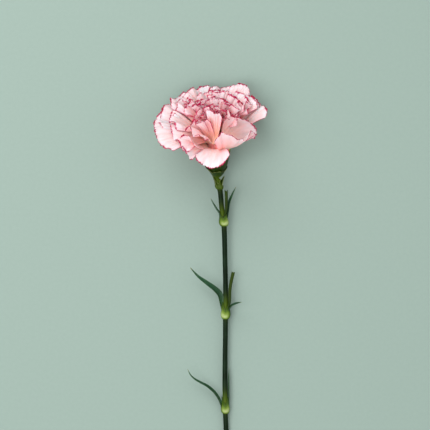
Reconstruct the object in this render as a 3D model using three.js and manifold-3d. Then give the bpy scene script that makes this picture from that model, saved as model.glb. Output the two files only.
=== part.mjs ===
// A cut double carnation lying on its side, as one group of solids in millimetres, +Z up.
//
// The flower is drawn in its own frame: x across, y up the stem and z towards the side that
// its face is turned to. The head has a frame of its own inside that one, with z along its
// axis. The flower is then laid back on the floor, where it rests on two low petals and on
// the cut end of its stem.
import * as THREE from 'three';
import { mergeVertices } from 'three/addons/utils/BufferGeometryUtils.js';
import Module from 'manifold-3d';

const wasm = await Module();
wasm.setup();

const { degToRad: radians } = THREE.MathUtils;
const vec = (x, y, z = 0) => new THREE.Vector3(x, y, z);

// ---------------------------------------------------------------- driving dimensions

const STEM_RADIUS = 1.9;
const STEM_LENGTH = 229;        // from the foot of the head to the cut end
const CALYX_LENGTH = 25;
const CALYX_MOUTH = 9.7;        // radius
const CALYX_WALL = 0.8;
const FACE_HEIGHT = 59;         // margins of the inner petals, above the foot of the calyx
const HEAD_TILT = 30;           // degrees that the face turns up from the stem's line
const HEAD_LEAN = 3;            // degrees that the head leans to the right
const HEAD_FOOT = vec(-0.75, 0, 2);
const GAP = 0.3;                // clearance between pieces that touch
const PETAL_THICKNESS = 0.7;
const LEAF_THICKNESS = 0.8;
const FLOOR_DEPTH = 12.4;       // of the floor under the stem's line, at the resting petals
const REST_AT = 58;             // how far up from the foot of the head they touch down
const FLOOR_TRIM = 0.3;         // depth of the flats that the resting petals and stem are pressed to

// ---------------------------------------------------------------- meshes and solids

// Points are THREE.Vector3, triangles are triples of their numbers
function geometryOf(points, triangles) {
  const geometry = new THREE.BufferGeometry();
  geometry.setAttribute('position', new THREE.Float32BufferAttribute(points.flatMap((p) => p.toArray()), 3));
  geometry.setIndex(triangles.flat());
  return geometry;
}

function solidOf(geometry) {
  const bare = geometry.clone();
  bare.deleteAttribute('normal');
  bare.deleteAttribute('uv');
  const merged = mergeVertices(bare, 1e-4);
  return new wasm.Manifold(new wasm.Mesh({
    numProp: 3,
    vertProperties: new Float32Array(merged.attributes.position.array),
    triVerts: new Uint32Array(merged.index.array),
  }));
}

function meshOf(solid, name, look) {
  const { vertProperties, triVerts } = solid.getMesh();
  const geometry = new THREE.BufferGeometry();
  geometry.setAttribute('position', new THREE.BufferAttribute(new Float32Array(vertProperties), 3));
  geometry.setIndex(new THREE.BufferAttribute(new Uint32Array(triVerts), 1));
  geometry.computeVertexNormals();
  const mesh = new THREE.Mesh(geometry, new THREE.MeshStandardMaterial({ metalness: 0, ...look }));
  mesh.name = name;
  return mesh;
}

const joined = (solids) => solids.reduce((whole, solid) => whole.add(solid));

// The largest body of a solid: small hollows that joining sealed are filled, scraps dropped
const mainBody = (solid) => solid.decompose().reduce((a, b) => (b.volume() > a.volume() ? b : a));

// A closed sheet over a grid. pointAt(u, v) gives its middle surface, u and v from 0 to 1.
// Both faces are split along the same diagonals.
function sheet(pointAt, columns, rows, thickness) {
  const at = (i, j) => pointAt(i / columns, j / rows);
  const clampI = (i) => Math.min(Math.max(i, 0), columns);
  const clampJ = (j) => Math.min(Math.max(j, 0), rows);
  const middle = [];
  for (let i = 0; i <= columns; i++) middle.push(Array.from({ length: rows + 1 }, (_, j) => at(i, j)));
  const front = [];
  const back = [];
  for (let i = 0; i <= columns; i++) {
    for (let j = 0; j <= rows; j++) {
      const across = middle[clampI(i + 1)][j].clone().sub(middle[clampI(i - 1)][j]);
      const along = middle[i][clampJ(j + 1)].clone().sub(middle[i][clampJ(j - 1)]);
      const normal = across.cross(along).setLength(thickness / 2);
      front.push(middle[i][j].clone().add(normal));
      back.push(middle[i][j].clone().sub(normal));
    }
  }
  const id = (i, j) => i * (rows + 1) + j;
  const under = front.length;
  const triangles = [];
  for (let i = 0; i < columns; i++) {
    for (let j = 0; j < rows; j++) {
      const [a, b, c, d] = [id(i, j), id(i + 1, j), id(i + 1, j + 1), id(i, j + 1)];
      triangles.push([a, b, c], [a, c, d], [under + a, under + c, under + b], [under + a, under + d, under + c]);
    }
  }
  const rim = [];
  for (let i = 0; i < columns; i++) rim.push(id(i, 0));
  for (let j = 0; j < rows; j++) rim.push(id(columns, j));
  for (let i = columns; i > 0; i--) rim.push(id(i, rows));
  for (let j = rows; j > 0; j--) rim.push(id(0, j));
  rim.forEach((a, k) => {
    const b = rim[(k + 1) % rim.length];
    triangles.push([b, a, under + a], [b, under + a, under + b]);
  });
  return solidOf(geometryOf([...front, ...back], triangles));
}

// A body turned about the z axis whose profile may change with the angle. profileAt(angle)
// lists [radius, height] upwards along the outside. A closed profile runs back down the
// inside to where it began; an open one begins and ends on the axis.
function turned(columns, profileAt, closed = false) {
  const points = [];
  const triangles = [];
  const profiles = Array.from({ length: columns }, (_, i) => profileAt((i / columns) * 2 * Math.PI));
  const count = profiles[0].length;
  profiles.forEach((profile, i) => {
    const angle = (i / columns) * 2 * Math.PI;
    profile.forEach(([r, h]) => points.push(vec(r * Math.cos(angle), r * Math.sin(angle), h)));
  });
  const spans = closed ? count : count - 1;
  for (let i = 0; i < columns; i++) {
    const here = i * count;
    const next = ((i + 1) % columns) * count;
    for (let j = 0; j < spans; j++) {
      const k = (j + 1) % count;
      if (closed || j > 0) triangles.push([here + j, next + j, next + k]);
      if (closed || j < spans - 1) triangles.push([here + j, next + k, here + k]);
    }
  }
  return solidOf(geometryOf(points, triangles));
}

// A round rod along a curve, its radius given by radiusAt(t), with flat ends
function rod(curve, radiusAt, sides, steps) {
  const points = [];
  const triangles = [];
  for (let j = 0; j <= steps; j++) {
    const t = j / steps;
    const centre = curve.getPoint(t);
    const tangent = curve.getTangent(t);
    const across = tangent.clone().cross(vec(0, 0, 1)).normalize();
    const other = tangent.clone().cross(across);
    for (let i = 0; i < sides; i++) {
      const angle = (i / sides) * 2 * Math.PI;
      points.push(centre.clone()
        .addScaledVector(across, radiusAt(t) * Math.cos(angle))
        .addScaledVector(other, radiusAt(t) * Math.sin(angle)));
    }
  }
  for (let j = 0; j < steps; j++) {
    for (let i = 0; i < sides; i++) {
      const k = (i + 1) % sides;
      const [a, b, c, d] = [j * sides + i, j * sides + k, (j + 1) * sides + k, (j + 1) * sides + i];
      triangles.push([a, b, c], [a, c, d]);
    }
  }
  for (let i = 1; i < sides - 1; i++) {
    triangles.push([0, i + 1, i], [steps * sides, steps * sides + i, steps * sides + i + 1]);
  }
  return solidOf(geometryOf(points, triangles));
}

// The same seed always gives the same flower (a mulberry32 generator)
function randomFrom(seed) {
  let state = seed >>> 0;
  return () => {
    state = (state + 0x6d2b79f5) >>> 0;
    let t = state;
    t = Math.imul(t ^ (t >>> 15), t | 1);
    t ^= t + Math.imul(t ^ (t >>> 7), t | 61);
    return ((t ^ (t >>> 14)) >>> 0) / 4294967296;
  };
}

// ---------------------------------------------------------------- placing

const bedAngle = Math.asin((FLOOR_DEPTH - STEM_RADIUS) / (STEM_LENGTH + REST_AT));

// Puts a solid drawn in the head's frame into the flower's frame
const headTurn = new THREE.Euler(radians(HEAD_TILT - 90), 0, radians(-HEAD_LEAN), 'ZYX');
const headPlace = new THREE.Matrix4().makeRotationFromEuler(headTurn).setPosition(HEAD_FOOT);
const onHead = (solid) => solid.transform(headPlace.elements);

// Cuts off what would reach past the foot of the head
function underHead(solid) {
  const down = vec(0, 0, -1).applyEuler(headTurn);
  return solid.trimByPlane(down.toArray(), HEAD_FOOT.dot(down) + GAP);
}

// Cuts a solid of the flower's frame flat where it would reach below the floor
function overFloor(solid) {
  const up = vec(0, Math.sin(bedAngle), Math.cos(bedAngle));
  const touch = vec(0, -STEM_LENGTH, -STEM_RADIUS);
  return solid.trimByPlane(up.toArray(), touch.dot(up) + FLOOR_TRIM);
}

// ---------------------------------------------------------------- stem

// The stem's line, from a little below its cut to a little past the foot of the head
const SPARE = 6;
const stemLine = new THREE.CatmullRomCurve3([
  vec(8.9, -STEM_LENGTH - SPARE), vec(6.3, -188), vec(5.8, -174), vec(5.6, -146), vec(5.9, -116),
  vec(6.1, -92), vec(5.6, -62), vec(4.7, -35), vec(3.0, -22.5), vec(2.1, -12), vec(0.7, -6, 0.3),
  vec(-0.9, -0.4, 1.7), vec(-0.7, 1.3, 2.75),
]);

// The stem rises all the way, so the point at a height is found by halving
function stemAt(y) {
  let [low, high] = [0, 1];
  for (let k = 0; k < 24; k++) {
    const middle = (low + high) / 2;
    if (stemLine.getPoint(middle).y < y) low = middle;
    else high = middle;
  }
  return stemLine.getPoint(low);
}

// Joints, by their height on the stem: the three leaf pairs and the bracts under the head
const JOINTS = { lower: -174, middle: -103, upper: -34, bract: -7.5 };

const SIDE_SHOOTS = [
  { line: [vec(4.6, -32, 1.2), vec(6.3, -26, 2.7), vec(6.6, -18, 3.1), vec(6.5, -11, 3.3)], foot: 0.9, top: 1.2 },
  { line: [vec(6.8, -102, 0.8), vec(8.8, -96, 1.6), vec(9.4, -84, 1.8), vec(11.8, -72, 2)], foot: 0.9, top: 1.3 },
];

function stemRadius(y) {
  const swell = Object.values(JOINTS).reduce((sum, at) => sum + Math.exp(-(((y - at) / 3) ** 2)), 0);
  return STEM_RADIUS + 0.4 * swell;
}

function stemSolid(grow = 0) {
  const main = rod(stemLine, (t) => stemRadius(stemLine.getPoint(t).y) + grow, 10, 48);
  const shoots = SIDE_SHOOTS.map(({ line, foot, top }) => rod(
    new THREE.CatmullRomCurve3(line), (t) => foot + (top - foot) * t + grow, 8, 5,
  ));
  return joined([main, ...shoots]);
}

// The cut end slants across the stem
const CUT_SLANT = vec(0.55, 1).normalize();
const CUT_AT = stemAt(-STEM_LENGTH);

function stem() {
  const cut = stemSolid().trimByPlane(CUT_SLANT.toArray(), CUT_AT.dot(CUT_SLANT));
  return overFloor(underHead(cut));
}

// ---------------------------------------------------------------- leaves

// A channelled leaf blade along a curve from its root to its tip. face is the way its upper
// side looks.
function leaf({ line, width, face, channel = 0.5 }) {
  const curve = new THREE.CatmullRomCurve3(line);
  const half = (v) => (width / 2) * (v < 0.35 ? 0.75 + 0.25 * (v / 0.35) : 1 - 0.84 * ((v - 0.35) / 0.65) ** 1.6);
  return sheet((u, v) => {
    const along = curve.getTangent(v);
    const side = along.clone().cross(face).normalize();
    const up = side.clone().cross(along);
    const across = 2 * u - 1;
    return curve.getPoint(v)
      .addScaledVector(side, half(v) * across)
      .addScaledVector(up, channel * half(v) * across ** 2);
  }, 4, 9, LEAF_THICKNESS);
}

// The collar that a pair of leaves makes round a joint, before the stem is cut out of it
function collar(joint, reach, length) {
  const centre = stemAt(joint);
  const profile = [
    [0, -0.42], [0.78, -0.42], [1, -0.2], [0.98, 0.05], [0.86, 0.3], [0.8, 0.58], [0, 0.58],
  ];
  return turned(14, () => profile.map(([r, h]) => [r * reach, h * length]))
    .rotate([-90, 0, 0])
    .translate([centre.x, joint, centre.z]);
}

function leafPair(joint, reach, length, leaves) {
  return overFloor(joined([collar(joint, reach, length), ...leaves.map(leaf)]).subtract(stemSolid(GAP)));
}

function bractPair() {
  return leafPair(JOINTS.bract, 3, 6, BRACTS).subtract(onHead(headSpace()));
}

const LEAVES = {
  upper: [
    {
      line: [vec(2.1, -34.5, 0.4), vec(1.2, -28.2, 0.8), vec(-0.5, -25.4, 1),
        vec(-2.9, -21.2, 1.2), vec(-5, -17, 1.4)],
      width: 3, face: vec(0.75, 0.5, 0.25),
    },
    {
      line: [vec(6.6, -34.5, -0.6), vec(7.6, -27.2, -1), vec(8.5, -21.2, -1), vec(10.7, -15, -0.6),
        vec(13.7, -8.2, 0.6)],
      width: 3.2, face: vec(-0.6, 0.3, 0.8),
    },
  ],
  middle: [
    {
      line: [vec(3.6, -101, 0.6), vec(2.7, -92.5, 0.9), vec(1.2, -88.4, 1.2),
        vec(-2.2, -84.8, 1.6), vec(-8.5, -80, 2.4),
        vec(-14.8, -75, 3), vec(-20.4, -68.6, 3.2)],
      width: 4.6, face: vec(0.2, 0.45, 0.85),
    },
    {
      line: [vec(7.6, -103, 0.8), vec(9.6, -98.4, 3), vec(12, -96.2, 8), vec(14.8, -94.7, 14),
        vec(17.6, -93.5, 20)],
      width: 3, face: vec(-0.75, 0.6, 0.2),
    },
  ],
  lower: [
    {
      line: [vec(3.4, -175, 0.6), vec(2.2, -170.4, 0.8), vec(-0.1, -165.8, 1.2), vec(-3.3, -161.6, 1.8),
        vec(-7.9, -157.6, 2.6), vec(-12.4, -155, 3.4), vec(-17, -152.1, 4.2), vec(-20.1, -149, 4.8), vec(-22.3, -144.4, 5.2)],
      width: 3.4, face: vec(0.35, 0.75, 0.5),
    },
    {
      line: [vec(8.2, -174, 0.2), vec(8.5, -168, 0.3), vec(8.45, -160, 0.3), vec(8.4, -152, 0.3),
        vec(8.6, -144, 0.3)],
      width: 2.6, face: vec(-1, 0, 0.25), channel: 0.3,
    },
  ],
};

// Two short bracts on the joint right under the head, pressed against its foot
const BRACTS = [
  { line: [vec(-0.9, -9, 1), vec(-2, -5, 1.8), vec(-3, -2, 2.4), vec(-3.8, 0.4, 2.6)],
    width: 3.4, face: vec(0.9, 0.2, -0.4) },
  { line: [vec(2.8, -9, 0.6), vec(3.6, -5.6, 1), vec(4.2, -3, 1.4), vec(5.2, 0.2, 1.6)],
    width: 3.2, face: vec(-0.9, 0.2, -0.3) },
];

// ---------------------------------------------------------------- calyx, epicalyx and ovary

// The calyx's outside, foot to mouth, as shares of its length and of its mouth's radius
const CALYX_FORM = [
  [0, 0.27], [0.05, 0.34], [0.12, 0.45], [0.2, 0.57], [0.28, 0.66], [0.36, 0.73], [0.45, 0.8],
  [0.56, 0.85], [0.7, 0.89], [0.85, 0.94], [1, 1],
];

function calyxRadius(height) {
  const share = Math.min(Math.max(height / CALYX_LENGTH, 0), 1);
  const k = Math.min(CALYX_FORM.findIndex(([at]) => at >= share) || 1, CALYX_FORM.length - 1);
  const [[h0, r0], [h1, r1]] = [CALYX_FORM[k - 1], CALYX_FORM[k]];
  return CALYX_MOUTH * (r0 + ((r1 - r0) * (share - h0)) / (h1 - h0));
}

const CALYX_FLOOR = 2.4;        // height of the cup's floor
const CALYX_TEETH = 5;
const TOOTH = 3;

// Height of a toothed edge: 1 at the middle of each of the teeth, 0 between them
function teeth(angle, count, shift = 0) {
  const turn = (((angle - shift) * count) / (2 * Math.PI)) % 1;
  return 1 - 2 * Math.abs(turn - Math.round(turn));
}

function calyx(grow = 0) {
  const shares = [0, 0.08, 0.18, 0.3, 0.5, 0.75];
  const floor = CALYX_FLOOR + grow;
  return turned(20, (angle) => {
    const mouth = CALYX_LENGTH + TOOTH * (teeth(angle, CALYX_TEETH) - 0.5) + grow;
    const outside = shares.map((share) => [calyxRadius(share * CALYX_LENGTH) + grow, share * CALYX_LENGTH]);
    const inside = shares.slice(1).reverse()
      .map((share) => [calyxRadius(share * CALYX_LENGTH) - CALYX_WALL - grow, Math.max(share * CALYX_LENGTH, floor)]);
    return [
      [0, 0], ...outside, [CALYX_MOUTH + grow, mouth], [CALYX_MOUTH - CALYX_WALL - grow, mouth], ...inside, [0, floor],
    ];
  });
}

// Four broad scales round the foot of the calyx, grown together at their base
function epicalyx() {
  const [base, shoulder, tip, wall] = [1.4, 4.6, 9, 0.7];
  return turned(24, (angle) => {
    const edge = shoulder + (tip - shoulder) * teeth(angle, 4, radians(12)) ** 0.8;
    const flare = 0.8 * teeth(angle, 4, radians(12));
    const heights = [base, 3, shoulder, edge];
    const inner = heights.map((h, k) => [calyxRadius(h) + GAP + (k === 3 ? flare : 0), h - 0.1 * k]);
    const outer = inner.map(([r, h]) => [r + wall, h]);
    return [...outer, ...inner.reverse()];
  }, true);
}

// The space that the head's foot takes, with its clearance
function headSpace() {
  const heights = [0, 1.5, 3, 5, 8, 12];
  const reach = 2 * GAP + 1.6;
  return turned(24, () => [
    [0, -GAP], [calyxRadius(0) + GAP, -GAP], ...heights.map((h) => [calyxRadius(h) + reach, h + 0.6]), [0, 14],
  ]);
}

const OVARY = { radius: 3, foot: CALYX_FLOOR + GAP, top: 19 };

function ovary() {
  const { radius, foot, top } = OVARY;
  const body = (share) => radius * Math.sqrt(Math.max(0, 1 - (2 * share - 1) ** 2)) ** 0.8;
  const shares = [0.04, 0.12, 0.3, 0.5, 0.7, 0.88, 0.96];
  return turned(12, () => [
    [0, foot], ...shares.map((share) => [body(share), foot + (share < 0.05 ? 0 : share * (top - foot))]), [0, top],
  ]);
}

// ---------------------------------------------------------------- bloom

// Every petal is a fan on a strip that bends along an arc. seat and rim are the radius and
// height where the arc begins and ends. turn is the way the petal points, seen from above:
// 0 right, 90 back, 180 left, 270 front. bend is how far the arc curves on the way (negative:
// outward), spread the angle of the fan, sway its lean to one side (positive: anticlockwise),
// curl how far it wraps across, slant its tilt across, wave and waves the depth and number
// of its ruffles, phase their place and heart the axis that it is placed round.
const MOUTH_SEAT = [7, 25];

// Broad outer petals, each placed by hand
const GUARD_PETALS = [
  { turn: 171, rim: [44, 46], bend: -45, spread: 46, curl: 10, slant: -22, wave: 2 },
  { turn: 195, rim: [48, 40], bend: -50, spread: 58, sway: -2, curl: -10, slant: -18, wave: 1.6, phase: 0.1 },
  { turn: 232, rim: [35.7, 33], bend: -40, spread: 22, sway: -4, curl: 11, slant: -24, wave: 2.8,
    waves: 1.1, phase: 0.1 },
  { turn: 235, rim: [34.7, 43.8], bend: 27, spread: 28, sway: -8, curl: 15, slant: -2, wave: 2,
    waves: 1, phase: -0.06 },
  { turn: 267, rim: [33, 25], bend: -89, spread: 56, sway: -6, curl: 55, slant: 17, wave: 3.2,
    waves: 1.2, phase: 0.48 },
  { turn: 306, rim: [33, 48.6], bend: 20, spread: 58, sway: -7, curl: 52, slant: -6, wave: 3.1,
    waves: 1.6, phase: 0.42 },
  { turn: 36, rim: [38, 51], bend: -30, spread: 34, curl: 10, wave: 1.4 },
  { turn: 52, rim: [36, 54], bend: -30, spread: 36, curl: 10, wave: 2 },
  { turn: 64, rim: [44, 43], bend: -50, spread: 40, curl: 30, slant: 0, wave: 1 },
  { turn: 90, rim: [40, 49], bend: -45, spread: 40, curl: 5, wave: 1.6 },
  { turn: 120, rim: [44, 42], bend: -50, spread: 40, curl: 30, slant: 0, wave: 1 },
  { turn: 138, rim: [42, 52], bend: -40, spread: 50, curl: 5, wave: 2 },
];

// Petals that stand round the heart and show their faces
const FACE_PETALS = [
  { turn: 288, seat: [3, 30.5], rim: [9, 58.3], bend: -9, spread: 78, sway: 41, curl: 21, slant: -1,
    wave: 1.2 },
  { turn: 254, seat: [8, 32.6], rim: [12, 59], bend: -6, spread: 32, sway: -4, curl: 44, slant: -15,
    wave: 0.8 },
  { turn: 262, seat: [8, 31], rim: [14, 55], bend: -10, spread: 30, sway: -24, curl: 20, wave: 1.6 },
  { turn: 242, seat: [8, 31], rim: [19, 52], bend: -14, spread: 34, sway: -20, curl: 20, wave: 2 },
  { turn: 226, seat: [8, 30], rim: [28, 47], bend: -25, spread: 44, curl: 10, slant: -10, wave: 2.4 },
  { turn: 203, seat: [8, 30], rim: [37, 42], bend: -40, spread: 66, slant: -22, wave: 2, waves: 3 },
  { turn: 180, seat: [8, 30], rim: [36, 48], bend: -30, spread: 46, curl: 10, slant: -12, wave: 2.4 },
  { turn: 148, seat: [8, 32], rim: [36, 53], bend: -20, spread: 40, curl: 10, wave: 2.4 },
  { turn: 112, seat: [8, 32], rim: [38, 57], bend: -20, spread: 44, curl: 10, wave: 2.4 },
  { turn: 86, seat: [8, 32], rim: [36, 57], bend: -20, spread: 36, curl: 10, wave: 2 },
  { turn: 64, seat: [8, 32], rim: [36, 62], bend: -12, spread: 24, curl: -15, wave: 1.2, waves: 1 },
  { turn: 20, seat: [8, 34], rim: [26, 55], bend: -15, spread: 50, slant: 30, wave: 1.6 },
];

const HEART = [-2, 11];         // the middle of the inner petals lies behind the head's axis
const HEART_RADIUS = 29;
const HEART_FLATTENING = 0.35;  // how much less the heart reaches to the front and back
const INNER_PETALS = 12;
const GOLDEN_ANGLE = 137.5;

// The inner petals climb a spiral from the middle outwards, ever less upright
function innerPetals() {
  const random = randomFrom(11);
  const between = (low, high) => low + (high - low) * random();
  return Array.from({ length: INNER_PETALS }, (_, k) => {
    const share = Math.sqrt((k + 0.6) / INNER_PETALS);
    const turn = k * GOLDEN_ANGLE + between(-12, 12);
    const radius = HEART_RADIUS * (1 - HEART_FLATTENING * Math.abs(Math.sin(radians(turn))));
    return {
      turn,
      heart: HEART,
      seat: [1 + 8 * share, 42],
      rim: [3 + (radius - 3) * share, FACE_HEIGHT - between(0, 3)],
      bend: between(-25, 5),
      spread: between(56, 70),
      sway: between(-8, 8),
      curl: between(-20, 40),
      slant: between(4, 12),
      wave: between(2, 3),
      phase: between(0, 1),
    };
  });
}

const CLAW = 4;                 // how far behind its seat a fan comes to a point
const COLUMNS = 10;
const ROWS = 2;

function petal({
  turn, seat: [seatRadius, seatHeight] = MOUTH_SEAT, rim: [rimRadius, rimHeight], bend, spread, sway = 0,
  curl = 0, slant = 8, wave, waves = 2, phase = 0.3, heart = [0, 0],
}) {
  const rise = Math.atan2(rimHeight - seatHeight, rimRadius - seatRadius);
  const chord = Math.hypot(rimHeight - seatHeight, rimRadius - seatRadius);
  const arc = radians(bend);
  const reach = (chord * arc) / (2 * Math.sin(arc / 2));
  const start = rise - arc / 2;
  const fan = radians(spread);
  const wrap = radians(curl) / (reach * fan) || 1e-6;
  const [c, s] = [Math.cos(radians(turn)), Math.sin(radians(turn))];
  return sheet((u, v) => {
    const across = 2 * u - 1;
    const tooth = Math.round(u * COLUMNS) % 2 ? 0.8 : -0.8;
    const length = reach * (1 - 0.12 * Math.abs(across) ** 3) + tooth;
    const angle = (fan / 2) * across + radians(sway);
    const far = CLAW + v * length;
    const forward = far * Math.cos(angle) - CLAW;
    const aside = far * Math.sin(angle);
    const lift = start + (arc * forward) / reach;
    const radius = seatRadius + ((Math.sin(lift) - Math.sin(start)) * reach) / arc;
    const height = seatHeight - ((Math.cos(lift) - Math.cos(start)) * reach) / arc;
    const ruffle = wave * v ** 1.6 * Math.cos(Math.PI * (waves * across + 2 * phase));
    const out = (1 - Math.cos(wrap * aside)) / wrap + aside * Math.tan(radians(slant)) * v + ruffle;
    const side = Math.sin(wrap * aside) / wrap;
    const r = radius - out * Math.sin(lift);
    return vec(heart[0] + r * c - side * s, heart[1] + r * s + side * c, height + out * Math.cos(lift));
  }, COLUMNS, ROWS, PETAL_THICKNESS);
}

// The claws fill the calyx as a plug, hollow in the middle for the ovary. Above the mouth
// they are gathered in a heart that the petals stand out of.
function core() {
  const plug = [0.4, 0.55, 0.7, 0.85, 1].map((share) => [
    calyxRadius(share * CALYX_LENGTH) - CALYX_WALL - GAP, share * CALYX_LENGTH,
  ]);
  const socket = OVARY.radius + GAP;
  const claws = turned(20, () => [
    [0, OVARY.top + GAP + 1], [socket, OVARY.top + GAP], [socket, plug[0][1]], ...plug, [7.4, 28], [0, 30],
  ]);
  const heart = turned(16, () => [[0, -18], [6, -17], [10, -8], [12.5, 0], [11, 6], [6, 9], [0, 10]])
    .rotate([-8, 0, 0])
    .translate([HEART[0], HEART[1], 41]);
  return claws.add(heart);
}

function bloom() {
  const petals = [...GUARD_PETALS, ...FACE_PETALS, ...innerPetals()].map(petal);
  return mainBody(overFloor(onHead(joined([core(), ...petals]).subtract(calyx(GAP)))));
}

// ---------------------------------------------------------------- the flower

const STEM_GREEN = 0x3f5a3c;
const LEAF_GREEN = 0x3f6048;
const SHEATH_GREEN = 0x7f9050;
const CALYX_GREEN = 0x35480f;
const PETAL_PINK = 0xf3d3da;
const OVARY_GREEN = 0xa9b878;

const flower = new THREE.Group();
flower.add(
  meshOf(stem(), 'stem', { color: STEM_GREEN, roughness: 0.6 }),
  meshOf(leafPair(JOINTS.upper, 3.5, 8.5, LEAVES.upper), 'leaf_pair_upper', { color: LEAF_GREEN, roughness: 0.6 }),
  meshOf(leafPair(JOINTS.middle, 3.4, 10, LEAVES.middle), 'leaf_pair_middle', { color: LEAF_GREEN, roughness: 0.6 }),
  meshOf(leafPair(JOINTS.lower, 3.1, 9.5, LEAVES.lower), 'leaf_pair_lower', { color: LEAF_GREEN, roughness: 0.6 }),
  meshOf(bractPair(), 'bract_pair', { color: SHEATH_GREEN, roughness: 0.6 }),
  meshOf(onHead(epicalyx()), 'epicalyx', { color: SHEATH_GREEN, roughness: 0.6 }),
  meshOf(onHead(calyx()), 'calyx', { color: CALYX_GREEN, roughness: 0.55 }),
  meshOf(onHead(ovary()), 'ovary', { color: OVARY_GREEN, roughness: 0.6 }),
  meshOf(bloom(), 'bloom', { color: PETAL_PINK, roughness: 0.8 }),
);

// Lay the flower back on the floor, with the origin under the middle of it
flower.rotation.x = bedAngle;
const box = new THREE.Box3().setFromObject(flower, true);
flower.position.set(-(box.min.x + box.max.x) / 2, -(box.min.y + box.max.y) / 2, -box.min.z);

const group = new THREE.Group();
group.add(flower);
export default group;
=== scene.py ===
# %% [markdown]
# # A cut carnation with crimson-edged petals
#
# A carnation is sold as one long jointed stem with a single double flower on top. The packed
# part already holds its pieces at their real size: stem, three pairs of leaves, bracts,
# epicalyx, calyx, ovary and bloom. This lesson gives each of them its fine surface. Every new
# piece is a formula on a grid, worked out with numpy and put into a mesh in one go, so one
# short function can make a petal and a table of numbers can make the whole bloom.

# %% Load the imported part
import math

import bpy
import numpy as np
from mathutils import Matrix, Vector


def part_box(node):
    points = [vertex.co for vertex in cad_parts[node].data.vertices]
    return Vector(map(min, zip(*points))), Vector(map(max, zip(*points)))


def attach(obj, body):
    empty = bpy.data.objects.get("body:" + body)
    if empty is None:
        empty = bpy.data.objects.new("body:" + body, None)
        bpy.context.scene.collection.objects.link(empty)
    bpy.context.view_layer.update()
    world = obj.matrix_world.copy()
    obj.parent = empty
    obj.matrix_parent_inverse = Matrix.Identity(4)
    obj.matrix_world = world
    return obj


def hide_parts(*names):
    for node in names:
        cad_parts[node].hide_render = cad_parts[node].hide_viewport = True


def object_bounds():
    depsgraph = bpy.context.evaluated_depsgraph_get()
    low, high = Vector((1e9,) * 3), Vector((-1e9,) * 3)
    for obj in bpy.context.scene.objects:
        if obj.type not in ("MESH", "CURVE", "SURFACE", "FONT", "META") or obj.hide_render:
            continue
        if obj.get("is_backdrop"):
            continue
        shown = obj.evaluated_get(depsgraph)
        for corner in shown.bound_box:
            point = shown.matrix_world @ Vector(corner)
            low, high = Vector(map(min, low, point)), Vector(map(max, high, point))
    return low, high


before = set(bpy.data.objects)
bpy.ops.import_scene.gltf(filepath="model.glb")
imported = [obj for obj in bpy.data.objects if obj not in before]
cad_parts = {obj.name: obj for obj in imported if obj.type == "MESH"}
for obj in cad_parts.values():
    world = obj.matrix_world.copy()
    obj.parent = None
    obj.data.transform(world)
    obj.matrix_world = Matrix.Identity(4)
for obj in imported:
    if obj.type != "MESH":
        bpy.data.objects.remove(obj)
cad_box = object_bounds()
print("nodes:", sorted(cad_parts))
print("box in mm:", [[round(x * 1000, 1) for x in corner] for corner in cad_box])

# %% [markdown]
# ## Frames
#
# The flower is easiest to draw standing up: x across, y up the stem and z towards the side
# that its face is turned to, in millimetres. The head leans back inside that frame, with a z
# axis of its own. At the end everything is laid down on the floor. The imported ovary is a
# plain turned solid, so the same twelve-sided body is worked out here, and the difference
# between the two boxes tells where on the floor the flower lies.

# %% Driving dimensions, in millimetres
MM = 0.001
STEM_RADIUS = 1.9
STEM_LENGTH = 229
CALYX_LENGTH = 25
CALYX_MOUTH = 9.7
FACE_HEIGHT = 59
HEAD_TILT = 30
HEAD_LEAN = 3
HEAD_FOOT = np.array([-0.75, 0, 2])
FLOOR_DEPTH = 12.4
REST_AT = 58

bed_angle = math.asin((FLOOR_DEPTH - STEM_RADIUS) / (STEM_LENGTH + REST_AT))
print("the stem is laid back by", round(math.degrees(bed_angle), 2), "degrees")


# %% Turning points between the frames
def turn_about(axis, radians):
    """The 3 x 3 matrix of a turn about the x or the z axis."""
    return np.array(Matrix.Rotation(radians, 3, axis))


HEAD_TURN = turn_about("Z", math.radians(-HEAD_LEAN)) @ turn_about("X", math.radians(HEAD_TILT - 90))
BED_TURN = turn_about("X", bed_angle)


def on_head(points):
    """Head frame to flower frame: turn, then move to the foot of the head."""
    return points @ HEAD_TURN.T + HEAD_FOOT


def around_axis(radius, angle, height):
    """Points at a radius from the z axis, in the direction of an angle, at a height."""
    return np.stack([radius * np.cos(angle), radius * np.sin(angle), height], -1)


def full_circle(sides):
    """The angles of equal steps once round, from 0, in radians."""
    return np.arange(sides) / sides * 2 * np.pi


# %% Where the flower lies on the floor
OVARY_RADIUS, OVARY_FOOT, OVARY_TOP, OVARY_SIDES = 3, 2.7, 19, 12
shares = np.array([0.04, 0.12, 0.3, 0.5, 0.7, 0.88, 0.96])
body_radii = OVARY_RADIUS * np.sqrt(1 - (2 * shares - 1) ** 2) ** 0.8
body_heights = OVARY_FOOT + np.where(shares < 0.05, 0, shares) * (OVARY_TOP - OVARY_FOOT)
ovary_radii = np.array([0, *body_radii, 0])[:, None]
ovary_heights = np.array([OVARY_FOOT, *body_heights, OVARY_TOP])[:, None]
ovary_angles = full_circle(OVARY_SIDES)
ovary_rings = around_axis(ovary_radii, ovary_angles, ovary_heights + 0 * ovary_angles)
drawn = on_head(ovary_rings).reshape(-1, 3) @ BED_TURN.T
packed_low, packed_high = (np.array(corner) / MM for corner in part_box("ovary"))
PLACE = (packed_low + packed_high - drawn.min(0) - drawn.max(0)) / 2
print("the flower's own frame lies at", PLACE.round(2), "mm")


def on_floor(points):
    """Flower frame to the table's frame, still in millimetres."""
    return points @ BED_TURN.T + PLACE


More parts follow.
